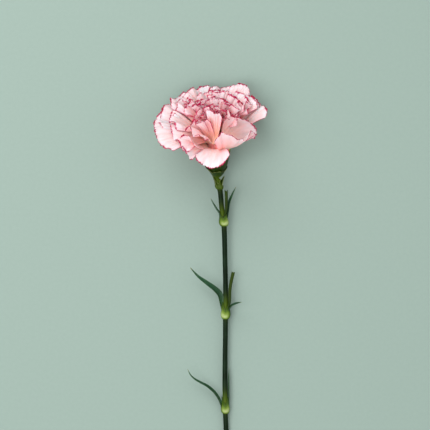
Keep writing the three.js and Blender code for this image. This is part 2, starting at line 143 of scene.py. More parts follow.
# %% [markdown]
# ## From numbers to meshes
#
# A petal, a leaf and a calyx are all thin sheets. A sheet is a grid of points on its middle
# surface. It could be left as a single layer of faces, or thickened by a Solidify modifier.
# Here both faces are worked out from the grid's own normals, because that closes the edge,
# lets the thickness fade towards a margin, and can tell the inner face from the outer one.

# %% Sheets and tubes as arrays
def grid_quads(rows, columns, wrap=False):
    """Corner numbers of every cell of a grid of points, going round u then v."""
    i, j = np.meshgrid(np.arange(rows - 1), np.arange(columns if wrap else columns - 1), indexing="ij")
    k = (j + 1) % columns
    row, next_row = i * columns, (i + 1) * columns
    return np.stack([row + j, row + k, next_row + k, next_row + j], -1).reshape(-1, 4)


def normals_of(points, wrap=False):
    """Unit normals of a grid: the cross product of its two directions."""
    if wrap:
        across = np.roll(points, -1, 1) - np.roll(points, 1, 1)
    else:
        across = np.gradient(points, axis=1)
    normal = np.cross(across, np.gradient(points, axis=0))
    return normal / np.maximum(np.linalg.norm(normal, axis=-1, keepdims=True), 1e-9)


def sheet(points, thickness, wrap=False, **looks):
    """A closed sheet: the grid moved half its thickness each way along the normals, with the
    edges joined. looks are arrays over the grid; 'face' is 1 on the front and 0 behind."""
    rows, columns = points.shape[:2]
    blank = np.zeros((rows, columns))
    shift = normals_of(points, wrap) * (np.asarray(thickness) / 2 + blank)[..., None]
    count = rows * columns
    quads = grid_quads(rows, columns, wrap)
    number = np.arange(count).reshape(rows, columns)
    if wrap:
        rims = [number[0][::-1], number[-1]]
        rims = [np.append(rim, rim[0]) for rim in rims]
    else:
        rims = [np.concatenate([number[0, ::-1], number[1:, 0], number[-1, 1:], number[-2::-1, -1]])]
    edges = [np.stack([rim[:-1], rim[1:], rim[1:] + count, rim[:-1] + count], -1) for rim in rims]
    values = {key: np.tile((value + blank).ravel(), 2) for key, value in looks.items()}
    values["face"] = np.repeat([1.0, 0.0], count)
    return {
        "points": np.concatenate([(points + shift).reshape(-1, 3), (points - shift).reshape(-1, 3)]),
        "quads": np.concatenate([quads, quads[:, ::-1] + count, *edges]),
        "looks": values,
    }


def tube(rings, **looks):
    """A tube through rings of points, (rings, sides, 3), each end closed by a fan of triangles
    round its centre. looks are arrays over the rings' points."""
    count, sides = rings.shape[:2]
    hub = count * sides
    last = hub - sides
    j = np.arange(sides)
    k = (j + 1) % sides
    low_fan = np.stack([k, j, j * 0 + hub], -1)
    top_fan = np.stack([last + j, last + k, j * 0 + hub + 1], -1)
    values = {key: (value + np.zeros((count, sides))).ravel() for key, value in looks.items()}
    return {
        "points": np.concatenate([rings.reshape(-1, 3), rings[[0, -1]].mean(1)]),
        "quads": grid_quads(count, sides, wrap=True),
        "fans": np.concatenate([low_fan, top_fan]),
        "looks": {key: np.append(value, [value[0], value[-1]]) for key, value in values.items()},
    }


# %% [markdown]
# ## Smooth lines, and lying on the table
#
# Stems and leaves are drawn by a few points each. A spline object could join them, but its
# curve would have to be read back, so the same kind of curve is worked out here. A cut flower
# also flattens a little where it touches what it lies on. A simulation could press it down.
# Lifting each point that would sink in is enough, and it keeps the shape everywhere else.

# %% Curves, and resting on the table
def curve_through(knots, t):
    """A centripetal Catmull-Rom curve: each span is a cubic whose end slopes come from its
    neighbours, weighted by the square roots of the distances. t is 0 to 1 over equal spans."""
    knots = np.asarray(knots, float)
    knots = np.concatenate([[2 * knots[0] - knots[1]], knots, [2 * knots[-1] - knots[-2]]])
    spans = len(knots) - 3
    place = np.clip(np.asarray(t) * spans, 0, spans - 1e-9)
    k = place.astype(int)
    w = (place - k)[:, None]
    p0, p1, p2, p3 = (knots[k + n] for n in range(4))
    d0, d1, d2 = (np.linalg.norm(b - a, axis=1)[:, None] ** 0.5 for a, b in ((p0, p1), (p1, p2), (p2, p3)))
    slope1 = ((p1 - p0) / d0 - (p2 - p0) / (d0 + d1) + (p2 - p1) / d1) * d1
    slope2 = ((p2 - p1) / d1 - (p3 - p1) / (d1 + d2) + (p3 - p2) / d2) * d1
    cubic = 2 * p1 - 2 * p2 + slope1 + slope2
    square = -3 * p1 + 3 * p2 - 2 * slope1 - slope2
    return p1 + slope1 * w + square * w**2 + cubic * w**3


def tangents_of(path):
    """Unit directions along a path of points."""
    along = np.gradient(path, axis=0)
    return along / np.linalg.norm(along, axis=1, keepdims=True)


UP = BED_TURN.T @ np.array([0, 0, 1])


def rest(points, clearance=0.16):
    """Lifts whatever would sink into the table, so that it lies flat on it."""
    height = points @ UP + PLACE[2]
    return points + np.maximum(clearance - height, 0)[..., None] * UP


def stretch(value, low, high):
    """0 below low, 1 above high, with a smooth step between."""
    share = np.clip((np.asarray(value, float) - low) / (high - low), 0, 1)
    return share * share * (3 - 2 * share)


# %% [markdown]
# ## One mesh for each piece
#
# Each new piece takes the place of a packed one, so it is one object at the origin, with its
# place in its mesh. Many small objects could be joined afterwards. Adding their arrays up first
# is faster, and it lets the measures that the finish needs travel with the points.

# %% Joining parts into a finished piece
def make_piece(name, parts, look, slot, *replaced):
    """Joins sheets and tubes in one smooth mesh with its looks as attributes. It rides on the
    body, takes its finish from look and stands for the CAD nodes named. slot is not used."""
    offsets = np.cumsum([0] + [len(part["points"]) for part in parts])
    points = on_floor(np.concatenate([part["points"] for part in parts])) * MM
    no_fans = np.zeros((0, 3), int)
    quads = np.concatenate([part["quads"] + offset for part, offset in zip(parts, offsets)])
    fans = np.concatenate([part.get("fans", no_fans) + offset for part, offset in zip(parts, offsets)])
    corners = np.concatenate([quads.ravel(), fans.ravel()]).astype(np.int32)
    quad_starts = np.arange(len(quads)) * 4
    fan_starts = len(quads) * 4 + np.arange(len(fans)) * 3
    starts = np.concatenate([quad_starts, fan_starts]).astype(np.int32)
    mesh = bpy.data.meshes.new(name)
    mesh.vertices.add(len(points))
    mesh.vertices.foreach_set("co", points.astype(np.float32).ravel())
    mesh.loops.add(len(corners))
    mesh.loops.foreach_set("vertex_index", corners)
    mesh.polygons.add(len(starts))
    mesh.polygons.foreach_set("loop_start", starts)
    mesh.polygons.foreach_set("use_smooth", np.ones(len(starts), bool))
    mesh.update(calc_edges=True)
    for key in sorted(set(key for part in parts for key in part["looks"])):
        values = [part["looks"].get(key, np.zeros(len(part["points"]))) for part in parts]
        attribute = mesh.attributes.new(key, "FLOAT", "POINT")
        attribute.data.foreach_set("value", np.concatenate(values).astype(np.float32))
    mesh.materials.append(look)
    piece = bpy.data.objects.new(name, mesh)
    bpy.context.scene.collection.objects.link(piece)
    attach(piece, "root")
    if replaced:
        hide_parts(*replaced)
    print(name, "has", 2 * len(quads) + len(fans), "triangles")


# %% [markdown]
# ## Finishes
#
# Plants have few flat colours. A petal is blushed towards its root, veined along its fan and
# dipped in crimson at the very edge; a leaf is darker in the middle and bloomed with wax. Such
# patterns could be painted in a picture. Here each vertex carries plain measures, such as its
# distance from the edge in millimetres, and the material turns them into colour with noise
# and ramps, so the finish stays sharp at any size.

# %% Small tools for materials
def tint(red, green, blue):
    """A colour given as seen on a screen, 0 to 255, as the linear RGBA that a shader takes."""
    seen = np.array([red, green, blue]) / 255
    linear = np.where(seen > 0.04045, ((seen + 0.055) / 1.055) ** 2.4, seen / 12.92)
    return (*linear.tolist(), 1.0)


class Finish:
    """A material under construction: short calls that add nodes and join them up."""

    def __init__(self, name):
        self.material = bpy.data.materials.new(name)
        self.material.use_nodes = True
        self.tree = self.material.node_tree
        self.skin = next(n for n in self.tree.nodes if n.type == "BSDF_PRINCIPLED")

    def node(self, kind, **settings):
        """A new node with its settings."""
        made = self.tree.nodes.new(kind)
        for key, value in settings.items():
            setattr(made, key, value)
        return made

    def feed(self, socket, value):
        """Joins an output to a socket, or sets the socket to a plain value."""
        if isinstance(value, bpy.types.NodeSocket):
            self.tree.links.new(value, socket)
        else:
            socket.default_value = value

    def measure(self, name):
        """One of the mesh's own attributes."""
        return self.node("ShaderNodeAttribute", attribute_name=name).outputs["Fac"]

    def place(self):
        """Where a point lies on the finished object, in metres."""
        return self.node("ShaderNodeTexCoord").outputs["Object"]

    def sum(self, operation, a, b=0.0, c=0.0):
        """Arithmetic on up to three values, by the operation's name."""
        made = self.node("ShaderNodeMath", operation=operation)
        for socket, value in zip(made.inputs, (a, b, c)):
            self.feed(socket, value)
        return made.outputs[0]

    def vector(self, x, y, z=0.0):
        """Three values as one place, for a noise to be read at."""
        made = self.node("ShaderNodeCombineXYZ")
        for socket, value in zip(made.inputs, (x, y, z)):
            self.feed(socket, value)
        return made.outputs[0]

    def noise(self, at, scale, detail=2.0, roughness=0.5):
        """Smooth random clouds from 0 to 1, read at a place."""
        made = self.node("ShaderNodeTexNoise")
        self.feed(made.inputs["Vector"], at)
        self.feed(made.inputs["Scale"], scale)
        self.feed(made.inputs["Detail"], detail)
        self.feed(made.inputs["Roughness"], roughness)
        return made.outputs["Fac"]

    def span(self, value, low, high, to_low=0.0, to_high=1.0):
        """A value between low and high, carried smoothly to between to_low and to_high."""
        made = self.node("ShaderNodeMapRange", interpolation_type="SMOOTHSTEP")
        for socket, number in zip(made.inputs, (value, low, high, to_low, to_high)):
            self.feed(socket, number)
        return made.outputs[0]

    def ramp(self, share, stops):
        """A colour ramp: stops are (place, colour)."""
        made = self.node("ShaderNodeValToRGB")
        elements = made.color_ramp.elements
        for place, _ in stops[2:]:
            elements.new(place)
        for element, (place, colour) in zip(elements, sorted(stops)):
            element.position = place
            element.color = colour
        self.feed(made.inputs[0], share)
        return made.outputs[0]

    def blend(self, share, a, b):
        """Colour a turning into colour b as share goes from 0 to 1."""
        made = self.node("ShaderNodeMix", data_type="RGBA")
        factor, first, second = made.inputs[0], made.inputs[6], made.inputs[7]
        self.feed(factor, share)
        self.feed(first, a)
        self.feed(second, b)
        return made.outputs[2]

    def relief(self, height, depth):
        """Small bumps: height 0 to 1, depth in millimetres."""
        made = self.node("ShaderNodeBump")
        self.feed(made.inputs["Distance"], depth * MM)
        self.feed(made.inputs["Height"], height)
        self.feed(self.skin.inputs["Normal"], made.outputs[0])

    def done(self, colour, **sockets):
        """Joins the colour and sets the shader's own sockets, named with _ for a space."""
        self.feed(self.skin.inputs["Base Color"], colour)
        for key, value in sockets.items():
            self.feed(self.skin.inputs[key.replace("_", " ")], value)
        print("finish", self.material.name, "has", len(self.tree.nodes), "nodes")
        return self.material


# %% [markdown]
# ## Stem
#
# The stem is a round, waxy rod that kinks a little at each joint and swells there. Two cut
# side shoots stand in the leaf axils. A bevelled curve would give a rod too, but rings along
# the path let the radius follow the joints, and let the lower end be cut at a slant.

# %% The finish of stem and side shoots
def stem_finish():
    """Dark green under streaks of pale wax, yellower at the joints, with a pale cut pith."""
    f = Finish("stem_skin")
    round_at, along, pale, cut = (f.measure(key) for key in ("around", "along", "pale", "cut"))
    lengthwise = f.vector(f.sum("MULTIPLY", round_at, 5), f.sum("MULTIPLY", along, 0.07))
    streaks = f.noise(lengthwise, 1.0, 4, 0.6)
    wax = f.noise(f.place(), 90, 3, 0.6)
    green = f.blend(f.span(streaks, 0.3, 0.7), tint(2, 14, 3), tint(12, 28, 10))
    green = f.blend(f.span(wax, 0.35, 0.75, 0.0, 0.35), green, tint(30, 52, 34))
    green = f.blend(f.sum("MULTIPLY", pale, 0.7), green, tint(76, 96, 16))
    flesh = f.ramp(cut, [(0.0, tint(196, 206, 160)), (0.55, tint(176, 190, 132)),
                         (0.8, tint(120, 140, 80)), (1.0, tint(60, 84, 42))])
    is_cut = f.span(cut, 0.0, 0.01)
    f.relief(streaks, 0.06)
    return f.done(f.blend(is_cut, green, flesh), Roughness=0.36, Specular_IOR_Level=0.06)


STEM_SKIN = stem_finish()

# %% The line of the stem
STEM_KNOTS = [
    (8.9, -STEM_LENGTH - 6, 0), (6.3, -188, 0), (5.8, -174, 0), (5.6, -146, 0), (5.9, -116, 0),
    (6.1, -92, 0), (5.6, -62, 0), (4.7, -35, 0), (3.0, -22.5, 0), (2.1, -12, 0), (0.7, -6, 0.3),
    (-0.9, -0.4, 1.7), (-0.7, 1.3, 2.75),
]
JOINTS = {"lower": -174, "middle": -103, "upper": -34, "bract": -7.5}
stem_line = curve_through(STEM_KNOTS, np.linspace(0, 1, 4000))
print("the stem's line is", round(np.linalg.norm(np.diff(stem_line, axis=0), axis=1).sum()), "mm long")


def stem_at(height):
    """Points of the stem's line at given heights: the line only ever rises."""
    return np.stack([np.interp(height, stem_line[:, 1], stem_line[:, n]) for n in range(3)], -1)


# %% Rods with a slanted or notched end
def rod(path, radius, sides):
    """Rings round a path, one radius for each: every ring is turned square to the path, with
    its first point to the right."""
    tangent = tangents_of(path)
    across = np.cross(tangent, [0, 0, 1])
    across /= np.linalg.norm(across, axis=1, keepdims=True)
    other = np.cross(tangent, across)
    angle = full_circle(sides)
    spokes = across[:, None] * np.cos(angle)[:, None] + other[:, None] * np.sin(angle)[:, None]
    return path[:, None] + spokes * np.asarray(radius)[:, None, None], angle


def cut_end(centre, ring, direction, steps=5):
    """Rings that close a cut: shrunk copies of the last ring, with how far out each lies."""
    shares = np.linspace(0.95, 0.12, steps)[:, None, None]
    return (centre + (ring - centre) * shares)[direction], shares[direction, :, 0]


def cut_rod(path, radius, sides, pale, slant=None, top_notch=0.0, low_cut=False):
    """A rod that ends in a bare cut face: its upper end, or with low_cut its lower one. slant is
    the normal of a slanting lower cut, which fades over the first three rings. top_notch is how
    deep the upper end is hollowed, and pale holds a value for each ring."""
    rings, angle = rod(path, radius, sides)
    tangent = tangents_of(path)
    if slant is not None:
        normal = np.asarray(slant) / np.linalg.norm(slant)
        for k, fade in ((0, 1.0), (1, 0.66), (2, 0.33)):
            off = (rings[k] - path[k]) @ normal / (tangent[k] @ normal)
            rings[k] -= off[:, None] * tangent[k] * fade
    rings[-1] += (np.abs(np.cos(angle)) - 0.5)[:, None] * top_notch * tangent[-1]
    along = np.linalg.norm(np.diff(path, axis=0, prepend=path[:1]), axis=1).cumsum()[:, None] + 0 * angle
    pale = np.asarray(pale)[:, None] + 0 * along
    end, sunk, order = (0, 0, slice(None, None, -1)) if low_cut else (-1, 0.6 * top_notch, slice(None))
    inner, out = cut_end(path[end] - sunk * tangent[end], rings[end], order)
    cuts = out + 0 * angle
    blank, flat = np.zeros_like(along), np.zeros_like(cuts)

    def stack(body, face):
        return np.concatenate([face, body] if low_cut else [body, face])

    return tube(rest(stack(rings, inner), 0.0), around=angle * np.asarray(radius).max(),
                along=stack(along, flat), pale=stack(pale, flat), cut=stack(blank, cuts))


# %% The stem and its side shoots
stem_heights = np.concatenate([np.linspace(-STEM_LENGTH, -12, 260), np.linspace(-11.5, 0.6, 30)])
stem_path = stem_at(stem_heights)
joint_heights = np.array(list(JOINTS.values()))
swell = np.exp(-(((stem_heights[:, None] - joint_heights) / 3) ** 2)).sum(1)
near_joint = np.exp(-(((stem_heights[:, None] - joint_heights - 5) / 7) ** 2)).sum(1)
stem_radius = STEM_RADIUS + 0.4 * swell + 0.05 * np.sin(stem_heights / 9)
main_stem = cut_rod(stem_path, stem_radius, 28, near_joint, slant=(0.55, 1, 0), low_cut=True)

SIDE_SHOOTS = [
    {"line": [(4.6, -32, 1.2), (6.3, -26, 2.7), (6.6, -18, 3.1), (6.5, -11, 3.3)],
     "foot": 0.9, "top": 1.2, "notch": 1.6},
    {"line": [(6.8, -102, 0.8), (8.8, -96, 1.6), (9.4, -84, 1.8), (11.8, -72, 2)],
     "foot": 0.9, "top": 1.3, "notch": 0.3},
]
t = np.linspace(0, 1, 60)
shoot_parts = []
for shoot in SIDE_SHOOTS:
    path = curve_through(shoot["line"], t)
    radius = shoot["foot"] + (shoot["top"] - shoot["foot"]) * t
    shoot_parts.append(cut_rod(path, radius, 20, 0.25 + 0.2 * t, top_notch=shoot["notch"]))
make_piece("stem_fine", [main_stem, *shoot_parts], STEM_SKIN, "stem_skin", "stem")

# %% [markdown]
# ## Leaves
#
# Carnation leaves come in pairs, narrow and channelled, with veins running lengthwise. At
# their foot the two grow together in a pale sheath round the joint. Each blade is a grid: a
# line from root to tip, and across it a shallow trough. The sheath is a sheet bent right
# round the stem, higher where the blades leave it.

# %% The finish of the leaves
def leaf_finish():
    """Blue-green and waxy, lined lengthwise, pale yellow-green at the sheath, with painted light on its lit
    side and painted shade on its far side, dry at the tip.
    """
    f = Finish("leaf_skin")
    across, along, pale, margin = (f.measure(key) for key in ("across", "along", "pale", "margin"))
    lengthwise = f.vector(f.sum("MULTIPLY", across, 4.5), f.sum("MULTIPLY", along, 1.2))
    veins = f.noise(lengthwise, 1.6, 3, 0.5)
    wax = f.noise(f.place(), 160, 3, 0.6)
    green = f.ramp(along, [(0.0, tint(30, 60, 16)), (0.3, tint(8, 44, 16)), (0.8, tint(24, 64, 38)),
                           (1.0, tint(52, 82, 54))])
    green = f.blend(f.span(veins, 0.3, 0.7, 0.0, 0.3), green, tint(48, 84, 58))
    green = f.blend(f.span(wax, 0.4, 0.75, 0.0, 0.25), green, tint(88, 116, 98))
    green = f.blend(f.span(along, 0.94, 1.0, 0.0, 0.8), green, tint(134, 124, 84))
    green = f.blend(f.span(margin, 0.0, 0.2, 0.15, 0.0), green, tint(120, 140, 96))
    # collar: the sheath's own pale colour, together with painted light and painted shade across its sides
    collar = f.ramp(pale, [(0.0, tint(26, 48, 6)), (0.45, tint(70, 94, 16)),
                           (0.75, tint(112, 132, 50)), (1.0, tint(164, 177, 120))])
    f.relief(veins, 0.08)
    return f.done(f.blend(f.span(pale, 0.02, 0.3), green, collar), Roughness=0.45,
                  Specular_IOR_Level=0.18, Subsurface_Weight=0.12, Subsurface_Radius=(0.4, 1.0, 0.2),
                  Subsurface_Scale=0.001)


LEAF_SKIN = leaf_finish()

# %% Blades
LEAF_CLEARANCE = 0.3
LEAVES = {
    "upper": [
        {"line": [(2.1, -34.5, 0.4), (1.2, -28.2, 0.8), (-0.5, -25.4, 1), (-2.9, -21.2, 1.2),
                  (-5, -17, 1.4)],
         "width": 3, "face": (0.75, 0.5, 0.25)},
        {"line": [(6.6, -34.5, -0.6), (7.6, -27.2, -1), (8.5, -21.2, -1), (10.7, -15, -0.6),
                  (13.7, -8.2, 0.6)],
         "width": 3.2, "face": (-0.6, 0.3, 0.8)},
    ],
    "middle": [
        {"line": [(3.6, -101, 0.6), (2.7, -92.5, 0.9), (1.2, -88.4, 1.2), (-2.2, -84.8, 1.6),
                  (-8.5, -80, 2.4), (-14.8, -75, 3), (-20.4, -68.6, 3.2)],
         "width": 4.6, "face": (0.2, 0.45, 0.85)},
        {"line": [(7.6, -103, 0.8), (9.6, -98.4, 3), (12, -96.2, 8), (14.8, -94.7, 14),
                  (17.6, -93.5, 20)],
         "width": 3, "face": (-0.75, 0.6, 0.2)},
    ],
    "lower": [
        {"line": [(3.4, -175, 0.6), (2.2, -170.4, 0.8), (-0.1, -165.8, 1.2), (-3.3, -161.6, 1.8),
                  (-7.9, -157.6, 2.6), (-12.4, -155, 3.4), (-17, -152.1, 4.2), (-20.1, -149, 4.8),
                  (-22.3, -144.4, 5.2)],
         "width": 3.4, "face": (0.35, 0.75, 0.5)},
        {"line": [(8.2, -174, 0.2), (8.5, -168, 0.3), (8.45, -160, 0.3), (8.4, -152, 0.3),
                  (8.6, -144, 0.3)],
         "width": 2.6, "face": (-1, 0, 0.25), "channel": 0.3},
    ],
}


def blade(line, width, face, channel=0.5, columns=24, rows=90):
    """A channelled leaf. From a narrow foot it widens over the first third, and then narrows to
    a point. Across, it rises to the edges as a parabola. The rib under its middle is thicker."""
    v = np.linspace(0, 1, rows + 1)
    path = curve_through(line, v)
    along = tangents_of(path)
    side = np.cross(along, np.asarray(face, float))
    side /= np.linalg.norm(side, axis=1, keepdims=True)
    up = np.cross(side, along)
    widening = 0.75 + 0.25 * v / 0.35
    narrowing = 1 - 0.95 * (np.clip(v - 0.35, 0, 1) / 0.65) ** 1.7
    foot = 0.4 + 0.6 * stretch(v, 0.0, 0.14)
    half = width / 2 * (np.where(v < 0.35, widening, narrowing) * foot)[:, None]
    across = np.linspace(-1, 1, columns + 1) + 0 * half
    ripple = 0.04 * np.sin(across * 34) * (1 - across**4)
    height = (channel * across**2 + ripple * np.minimum(half, 1) / np.maximum(half, 0.3)) * half
    points = path[:, None] + side[:, None] * (half * across)[..., None] + up[:, None] * height[..., None]
    thickness = np.minimum(0.28 + 0.5 * np.exp(-((across / 0.14) ** 2)), 0.2 + half)
    margin = (1 - np.abs(across)) * half
    return sheet(rest(points, LEAF_CLEARANCE), thickness, across=across * half,
                 along=v[:, None] + 0 * across, margin=margin, pale=0.5 * stretch(-v, -0.12, 0.0)[:, None])


# %% Sheaths
SHEATH_FOOT = -0.42
SHEATH_FORM = np.array([
    (SHEATH_FOOT, 0.6), (-0.38, 0.72), (-0.28, 0.9), (-0.12, 1.0), (0.05, 0.96), (0.25, 0.84),
    (0.45, 0.73), (0.65, 0.67), (0.95, 0.64),
])


def sheath(joint, reach, length, front_seam, lit_side=-1, columns=72, rows=34):
    """The collar of a leaf pair: a sheet round the stem with a bellied profile, low between
    the leaves and high on the leaf sides, and a seam where one leaf's foot overlaps the other.
    Its heights are shares of length. Beside the seam, on its lit_side, it is painted paler as painted light,
    and away from there darker as painted shade."""
    angle = full_circle(columns)
    top = 0.3 + 0.62 * np.abs(np.cos(angle)) ** 1.6
    share = np.linspace(0, 1, rows + 1)[:, None]
    height = SHEATH_FOOT + (top - SHEATH_FOOT) * share
    radius = reach * (np.interp(height, SHEATH_FORM[:, 0], SHEATH_FORM[:, 1])
                      + 0.12 * np.cos(angle) ** 2 * stretch(height, 0.2, 0.8))
    from_seam = (np.degrees(angle) - front_seam + 180) % 360 - 180
    step = 0.22 * stretch(from_seam, -4, 4) * stretch(-from_seam, -150, -20)
    radius = radius + step * stretch(share, 0.0, 0.3) + 0.04 * np.cos(angle * 22)
    centre = stem_at(joint + height * length)
    points = centre + np.stack([radius * np.cos(angle), 0 * radius, -radius * np.sin(angle)], -1)
    # painted light and shade: pale is raised on the lit side of the seam and lowered on the far side
    lit = stretch(np.cos(np.radians(from_seam - 40 * lit_side)), -0.5, 1.0)
    pale = (0.12 + 0.85 * lit) * (1 - 0.75 * stretch(share, 0.2, 1.0)) * (0.6 + 0.4 * stretch(share, 0, 0.2))
    return sheet(rest(points, LEAF_CLEARANCE), 0.42, wrap=True, across=angle * reach + 0 * share,
                 along=(share + 0 * angle) * 0.1, margin=(1 - share) * 4 + 0 * angle, pale=pale)


SHEATHS = {
    "upper": {"reach": 3.5, "length": 8.5, "front_seam": 250, "lit_side": 1},
    "middle": {"reach": 3.4, "length": 10, "front_seam": 285},
    "lower": {"reach": 3.1, "length": 9.5, "front_seam": 240, "lit_side": 1},
}
for pair, collar in SHEATHS.items():
    parts = [sheath(JOINTS[pair], **collar), *(blade(**leaf) for leaf in LEAVES[pair])]
    make_piece(f"leaves_{pair}", parts, LEAF_SKIN, "leaf", f"leaf_pair_{pair}")

# %% [markdown]
# ## Calyx
#
# The petals stand in a green tube, the calyx, that ends in five teeth with thin pale edges.
# It could be a turned profile with a Solidify modifier. A grid over angle and height gives its
# nerves and its teeth in the same formula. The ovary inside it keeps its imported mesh, because
# the petals hide it, and only gets its colour.

# %% Finishes of the green parts of the head
def calyx_finish():
    """Deep olive, paler along its nerves and yellow towards the toothed mouth."""
    f = Finish("calyx_skin")
    across, along, margin = (f.measure(key) for key in ("across", "along", "margin"))
    lengthwise = f.vector(f.sum("MULTIPLY", across, 2.4), f.sum("MULTIPLY", along, 0.5))
    nerves = f.noise(lengthwise, 1.2, 3, 0.5)
    mottle = f.noise(f.place(), 220, 3, 0.6)
    green = f.ramp(along, [(0.0, tint(40, 60, 12)), (0.3, tint(22, 38, 2)), (0.75, tint(30, 46, 2)),
                           (1.0, tint(74, 88, 12))])
    green = f.blend(f.span(nerves, 0.4, 0.7, 0.0, 0.4), green, tint(52, 70, 10))
    green = f.blend(f.span(mottle, 0.4, 0.8, 0.0, 0.25), green, tint(66, 84, 26))
    green = f.blend(f.span(margin, 0.05, 0.45, 0.8, 0.0), green, tint(160, 162, 84))
    f.relief(nerves, 0.1)
    return f.done(green, Roughness=0.36, Specular_IOR_Level=0.15)


def bract_finish():
    """Green in the middle with a broad, pale, papery margin."""
    f = Finish("bract_skin")
    across, along, margin = (f.measure(key) for key in ("across", "along", "margin"))
    lengthwise = f.vector(f.sum("MULTIPLY", across, 3.2), f.sum("MULTIPLY", along, 0.7))
    nerves = f.noise(lengthwise, 1.4, 3, 0.5)
    green = f.ramp(along, [(0.0, tint(66, 84, 14)), (0.4, tint(34, 54, 6)), (1.0, tint(26, 42, 4))])
    green = f.blend(f.span(nerves, 0.4, 0.7, 0.0, 0.3), green, tint(58, 76, 18))
    green = f.blend(f.span(margin, 0.05, 0.35, 0.55, 0.0), green, tint(140, 150, 80))
    f.relief(nerves, 0.07)
    return f.done(green, Roughness=0.42, Specular_IOR_Level=0.18, Subsurface_Weight=0.1,
                  Subsurface_Radius=(0.6, 1.0, 0.3), Subsurface_Scale=0.001)


def ovary_finish():
    """A smooth pale green, lightly mottled."""
    f = Finish("ovary_skin")
    mottle = f.noise(f.place(), 300, 3, 0.6)
    return f.done(f.blend(mottle, tint(150, 172, 100), tint(190, 204, 146)), Roughness=0.45)


CALYX_SKIN, BRACT_SKIN, OVARY_SKIN = calyx_finish(), bract_finish(), ovary_finish()

# %% The calyx
CALYX_FORM = [
    (0, 0.27), (0.05, 0.34), (0.12, 0.45), (0.2, 0.57), (0.28, 0.66), (0.36, 0.73), (0.45, 0.8),
    (0.56, 0.85), (0.7, 0.89), (0.85, 0.94), (1, 1),
]


def calyx_radius(height):
    """The outside of the calyx at a height: its table of shares, rounded into a smooth curve."""
    form = np.array([(h, r, 0) for h, r in CALYX_FORM])
    smooth = curve_through(form, np.linspace(0, 1, 200))
    return CALYX_MOUTH * np.interp(np.asarray(height) / CALYX_LENGTH, smooth[:, 0], smooth[:, 1])


def teeth(angle, count):
    """A zigzag: 1 at the middle of each tooth, 0 between two of them."""
    turn = angle * count / (2 * np.pi)
    return 1 - 2 * np.abs(turn - np.round(turn))


def calyx(columns=180, rows=44, wall=0.55, tooth=3.0, nerves=35):
    """The grid goes up the profile and round the axis. The mouth's height follows the teeth,
    and the radius carries one low ridge for each nerve."""
    angle = full_circle(columns)
    mouth = CALYX_LENGTH + tooth * (teeth(angle, 5) ** 0.8 - 0.5)
    share = np.linspace(0, 1, rows + 1)[:, None]
    height = share * mouth
    ridge = 0.07 * np.cos(nerves * angle) * stretch(share, 0.02, 0.2)
    radius = calyx_radius(np.minimum(height, CALYX_LENGTH)) - wall / 2 + ridge
    radius *= 1 - 0.5 * np.exp(-share / 0.008)
    points = around_axis(radius, angle, height - 0.25 * np.exp(-share / 0.02))
    return sheet(on_head(points), wall, wrap=True, across=angle * CALYX_MOUTH + 0 * share,
                 along=share + 0 * angle, margin=mouth - height)


make_piece("calyx_fine", [calyx()], CALYX_SKIN, "calyx_skin", "calyx")
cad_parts["ovary"].data.materials.clear()
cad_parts["ovary"].data.materials.append(OVARY_SKIN)

# %% [markdown]
# ## Scales and bracts
#
# Four short scales, the epicalyx, hug the foot of the calyx, and two bracts sit in a small
# sheath on the joint below. Scales could be flat leaves pressed on with a Shrinkwrap modifier.
# Here each is drawn straight on the formula of the calyx, a little off its surface, so it
# fits without a gap. The bracts are small leaves, so the leaves' own functions make them.

# %% The epicalyx's scales
def scale(turn, tip, half_angle, lift, flare, columns=26, rows=30, wall=0.3):
    """A broad scale that hugs the calyx: an oval drawn on its surface, ending in a short
    point, held a little off it and bent outwards at the tip."""
    v = np.linspace(0, 1, rows + 1)[:, None]
    across = np.linspace(-1, 1, columns + 1)
    width = np.sqrt(np.clip(1 - v**2.6, 0, 1)) * 0.94 + 0.06 * (1 - v)
    opening = 0.55 + 0.45 * stretch(v, 0, 0.35)
    angle = math.radians(turn) + math.radians(half_angle) * width * across * opening
    height = 0.5 + (tip - 0.5) * v - 0.6 * v * across**2
    radius = calyx_radius(height) + lift + flare * v**3 + 0.15 * v * across**2
    points = around_axis(radius, angle, height)
    side_margin = (1 - np.abs(across)) * radius * math.radians(half_angle) * width
    return sheet(on_head(points), wall, across=across * 4 + 0 * v, along=v + 0 * across,
                 margin=np.minimum(side_margin, (1 - v) * tip))


SCALES = [
    {"turn": 12, "tip": 8.6, "half_angle": 58, "lift": 0.35, "flare": 0.5},
    {"turn": 192, "tip": 8.8, "half_angle": 58, "lift": 0.35, "flare": 1.6},
    {"turn": 284, "tip": 8.2, "half_angle": 56, "lift": 0.75, "flare": 0.6},
    {"turn": 102, "tip": 8.4, "half_angle": 56, "lift": 0.75, "flare": 0.6},
]
make_piece("epicalyx_scales", [scale(**one) for one in SCALES], BRACT_SKIN, "bract", "epicalyx")

# %% The bracts
BRACTS = [
    {"line": [(-0.9, -8.5, 1.4), (-1.9, -5, 2), (-2.8, -2, 2.4), (-3.7, 0.4, 2.6)],
     "width": 4.4, "face": (0.8, 0.2, 0.3)},
    {"line": [(2.8, -8.5, 1), (3.4, -5.6, 1.3), (4.1, -3, 1.5), (5.2, 0.2, 1.6)],
     "width": 4, "face": (-0.7, 0.2, 0.5)},
]
bract_collar = sheath(JOINTS["bract"], reach=3, length=6, front_seam=255, rows=20)
bract_parts = [bract_collar, *(blade(**one, rows=30) for one in BRACTS)]
make_piece("bracts", bract_parts, BRACT_SKIN, "bract", "bract_pair")

# %% [markdown]
# ## The colour of the petals
#
# The flesh is palest at the rim and salmon towards the root, with faint veins along the fan.
# Crimson sits on the very edge of the teeth, and here and there it has run down a vein. It
# could be painted, or picked out by position, but the petals fold over one another. So each
# vertex knows how far it is from its own margin, and the stain follows every tooth.

